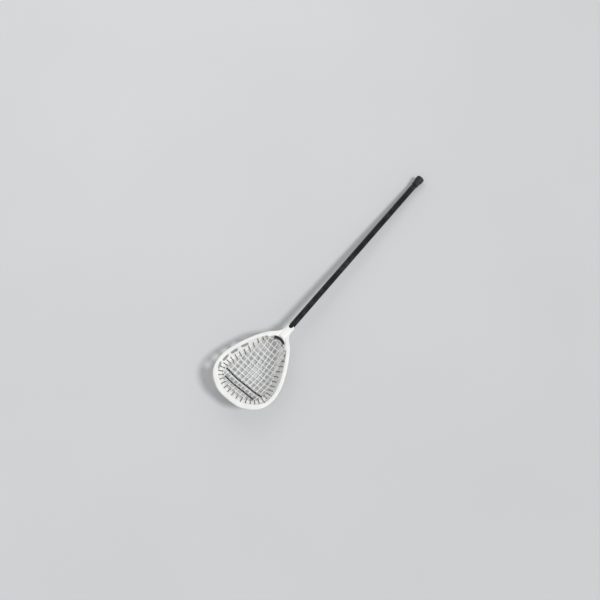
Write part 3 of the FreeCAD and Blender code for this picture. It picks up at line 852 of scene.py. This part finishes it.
def knotGrid(place):
    # overhand knot pulled tight: a trefoil, x = sin t + 2 sin 2t, y = cos t - 2 cos 2t, z = -depth sin 3t
    t = np.linspace(0, 2 * np.pi, lacing["knotPoints"], endpoint=False)
    x, y = np.sin(t) + 2 * np.sin(2 * t), np.cos(t) - 2 * np.cos(2 * t)
    trefoil = np.stack([x, -lacing["knotDepth"] * np.sin(3 * t), y], 1)
    size = (lacing["knotReach"] - lacing["radius"]) / 3 * lacing["knotSpread"]
    radius = lacing["radius"] * lacing["knotThin"]
    path = toRow(trefoil * size + place)
    return tubeGrid(path, radius, lacing["knotSides"], True, None, lacing["knotReference"])


def laceBraid(rows, angle):
    # plaits wound both ways round the string: radius swells where two of them cross
    turn = rows * lacing["step"] / lacing["plait"] * np.pi
    return 1 + lacing["plaitSwell"] * (np.cos(3 * angle + turn) + np.cos(3 * angle - turn))


def stringPiece(node, name, route):
    # a braided tube along the eased route, with a pulled knot at both ends
    points, ways = easedPath(*route)
    grid = tubeGrid(toRow(points), lacing["radius"], lacing["sides"], False, laceBraid, ways @ turnToRow)
    stops = route[0]
    meshPoints, faces = tubeMesh([grid, knotGrid(stops[0]), knotGrid(stops[-1])], [False, True, True])
    piece = newPiece(name, meshPoints, faces, laceCord)
    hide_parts(node)
    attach(piece, "stick")


rightLaces, scoopLaces = laceDistances()
rightRoute = laceRoute(rightLaces)
mirror = np.array([-1.0, 1.0, 1.0])
stringPiece("sidewall_string_right", "sidewallLaceRight", rightRoute)
stringPiece("sidewall_string_left", "sidewallLaceLeft", (rightRoute[0] * mirror, rightRoute[1] * mirror))
stringPiece("scoop_string", "scoopLace", laceRoute(scoopLaces))
stringPiece("throat_string", "throatLace", throatRoute())
print("lacing made")


# Shaft and screw keep their CAD shapes

def dress(node, material):
    # every material slot of the CAD mesh takes this material
    for slot in bpy.data.objects[node].material_slots:
        slot.material = material


dress("shaft", anodised)
dress("head_screw", zinc)
print("shaft and screw dressed")


# Foam pad on the ball stop

pad = {
    "radius": 0.0468,
    "thickness": 0.0100,
    "height": 0.0175,
    "halfAngle": 39.0,  # degrees
    "top": 0.012,
    "crown": 0.0012,  # how much fuller the middle is
    "squareness": 5,  # power of the section's superellipse
    "endSquareness": 8,
    "tip": 0.02,  # least section at the ends
    "rows": 61,
    "columns": 40,
}


def padPiece():
    # rounded box bent along the ball stop's arc: a superellipse section, fuller in the middle
    across = np.linspace(-1, 1, pad["rows"])
    around = np.linspace(0, 2 * np.pi, pad["columns"], endpoint=False)
    cosine, sine = np.cos(around), np.sin(around)
    power = 2 / pad["squareness"]
    flatDepth = np.sign(cosine) * np.abs(cosine) ** power
    flatRise = np.sign(sine) * np.abs(sine) ** power
    taper = (1 - np.abs(across) ** pad["endSquareness"]) ** (1 / 4)
    taper = np.maximum(taper, pad["tip"])[:, None]
    angle = np.radians(pad["halfAngle"]) * across[:, None]
    middle = pad["radius"] - pad["thickness"] / 2
    fullness = np.cos(np.pi * across / 2)[:, None] * (flatDepth < 0)[None, :] * 0.5
    puff = 1 + pad["crown"] / pad["thickness"] * fullness
    radius = middle + pad["thickness"] / 2 * flatDepth[None, :] * taper * puff
    rise = pad["top"] - pad["height"] / 2 + pad["height"] / 2 * flatRise[None, :] * taper
    x = radius * np.sin(angle)
    y = radius * np.cos(angle) - lacing["stopRadius"]
    surface = np.stack([x, y, np.broadcast_to(rise, x.shape)], -1)
    grid = toRow(surface.reshape(-1, 3)).reshape(len(across), -1, 3)
    points, faces = tubeMesh([grid], [False])
    return newPiece("ballStopPad", points, faces, foam)


stopPad = padPiece()
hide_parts("ball_stop_pad")
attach(stopPad, "stick")
print("pad made")


# Butt cap

cap = {
    "sleeve": 0.0154,  # radii
    "knob": 0.0195,
    "mouth": 0.986,  # places from the ball stop
    "flareStart": 1.000,
    "flareEnd": 1.022,
    "edge": 0.0040,  # rounding of the end
    "gripPast": 0.010,  # the grooves' even spacing goes on that far into the flare
    "grooves": 5,
    "grooveDepth": 0.0009,
    "grooveWidth": 0.11,  # share of the space between grooves
    "wall": 0.0016,
    "dish": 0.0009,
    "dishStart": 0.002,  # inside the rounded end
    "dishSpan": 0.004,
    "lip": 0.0010,  # chamfer of the mouth
    "rows": 220,
    "sides": 72,
}


def capPiece():
    # half outline turned about the shaft: sleeve with ring grooves, eased flare, rounded end, dished face
    end = stick["capEnd"]
    y = np.linspace(cap["mouth"] + cap["lip"], end - cap["edge"], cap["rows"])
    opened = (y - cap["flareStart"]) / (cap["flareEnd"] - cap["flareStart"])
    radius = cap["sleeve"] + (cap["knob"] - cap["sleeve"]) * ease(opened)
    ringSpan = cap["flareStart"] + cap["gripPast"] - cap["mouth"]
    phase = (y - cap["mouth"]) / ringSpan * cap["grooves"]
    groove = np.where(phase < cap["grooves"], np.exp(-((phase % 1 - 0.5) / cap["grooveWidth"]) ** 4), 0.0)
    radius = radius - cap["grooveDepth"] * groove
    turn = np.linspace(0, np.pi / 2, 14)[1:]
    roundY = end - cap["edge"] + cap["edge"] * np.sin(turn)
    roundR = cap["knob"] - cap["edge"] + cap["edge"] * np.cos(turn)
    faceR = np.linspace(cap["knob"] - cap["edge"], 0.0, 16)[1:-1]
    inward = cap["knob"] - cap["edge"] - cap["dishStart"] - faceR
    faceY = end - cap["dish"] * ease(inward / cap["dishSpan"])
    mouthR = cap["sleeve"] - np.array([cap["wall"], cap["lip"], 0.0005, 0.0001])
    mouthY = cap["mouth"] + np.array([0.0, 0.0, 0.0002, 0.0006])
    profileR = np.concatenate([mouthR, radius, roundR, faceR])
    profileY = np.concatenate([mouthY, y, roundY, faceY])
    angle = np.linspace(0, 2 * np.pi, cap["sides"], endpoint=False)
    x, z = profileR[:, None] * np.cos(angle), -profileR[:, None] * np.sin(angle)
    grid = np.stack([x, np.broadcast_to(profileY[:, None], x.shape), z], -1)
    grid = toRow(grid.reshape(-1, 3)).reshape(x.shape + (3,))
    points, faces = tubeMesh([grid], [False])
    return newPiece("buttCapRubber", points, faces, rubber)


buttCap = capPiece()
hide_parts("butt_cap")
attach(buttCap, "cap")
print("butt cap made")


# Floor, lights and camera

studio = {
    "floor": "#C9CACB",
    "floorShade": "#C3C4C6",
    "floorGrain": 0.8,
    "floorSize": 30.0,  # half its width
    "keyPlace": (1.9, 0.5, 2.6),
    "keyPower": 1.8,
    "keySoftness": 14.0,  # degrees across, as seen from the stick
    "fillPlace": (-2.0, 0.8, 2.4),
    "fillPower": 12.0,
    "fillWidth": 2.4,
    "aim": (0.0, -0.2, 0.0),  # both lamps point here
    "world": 0.60,
}

view = {
    "azimuth": 39.48,  # degrees
    "elevation": 73.29,
    "distance": 3.7624,
    "target": (-0.0626, -0.1309, 0.0),
    "angle": 40.0,
}


def addFloor():
    # one flat square at the floor's height
    material, tree = newMaterial("paleFloor")
    coords = objectCoords(tree)
    cloud = noise(tree, coords, studio["floorGrain"], 2.0)
    tone = mixColours(tree, cloud, linear(studio["floor"]), linear(studio["floorShade"]))
    finishMaterial(tree, {"Base Color": tone, "Roughness": 0.9})
    size = studio["floorSize"]
    corners = np.array([(-size, -size, 0), (size, -size, 0), (size, size, 0), (-size, size, 0)])
    floor = newPiece("floor", corners, [(0, 1, 2, 3)], material, smooth=False)


def addLamp(name, kind, place, power):
    # a soft sun, or a round soft box, that points at the head's side of the stick
    lamp = bpy.data.lights.new(name, kind)
    lamp.energy = power
    if kind == "SUN":
        lamp.angle = math.radians(studio["keySoftness"])
    else:
        lamp.shape = "DISK"
        lamp.size = studio["fillWidth"]
    holder = bpy.data.objects.new(name, lamp)
    bpy.context.scene.collection.objects.link(holder)
    holder.location = place
    aim = Vector(studio["aim"]) - Vector(place)
    holder.rotation_euler = aim.to_track_quat("-Z", "Y").to_euler()


def addWorld():
    world = bpy.data.worlds.new("studioWorld")
    world.use_nodes = True
    tree = world.node_tree
    tree.nodes.clear()
    light = addNode(tree, "ShaderNodeBackground", {}, {"Color": (1, 1, 1, 1), "Strength": studio["world"]})
    addNode(tree, "ShaderNodeOutputWorld", {}, {"Surface": light.outputs["Background"]})
    bpy.context.scene.world = world


def addCamera():
    # on a sphere about the target: azimuth from -Y towards +X, elevation above the floor
    a, e = math.radians(view["azimuth"]), math.radians(view["elevation"])
    back = Vector((math.sin(a) * math.cos(e), -math.cos(a) * math.cos(e), math.sin(e)))
    right = Vector((math.cos(a), math.sin(a), 0.0))
    up = back.cross(right)
    camera = bpy.data.cameras.new("photoCamera")
    camera.angle = math.radians(view["angle"])
    holder = bpy.data.objects.new("photoCamera", camera)
    bpy.context.scene.collection.objects.link(holder)
    turn = Matrix((right, up, back)).transposed().to_4x4()
    holder.matrix_world = Matrix.Translation(Vector(view["target"]) + back * view["distance"]) @ turn
    bpy.context.scene.camera = holder


addFloor()
addLamp("keyLamp", "SUN", studio["keyPlace"], studio["keyPower"])
addLamp("fillLamp", "AREA", studio["fillPlace"], studio["fillPower"])
addWorld()
addCamera()
bpy.context.scene.view_settings.view_transform = "Standard"
print("stage set")
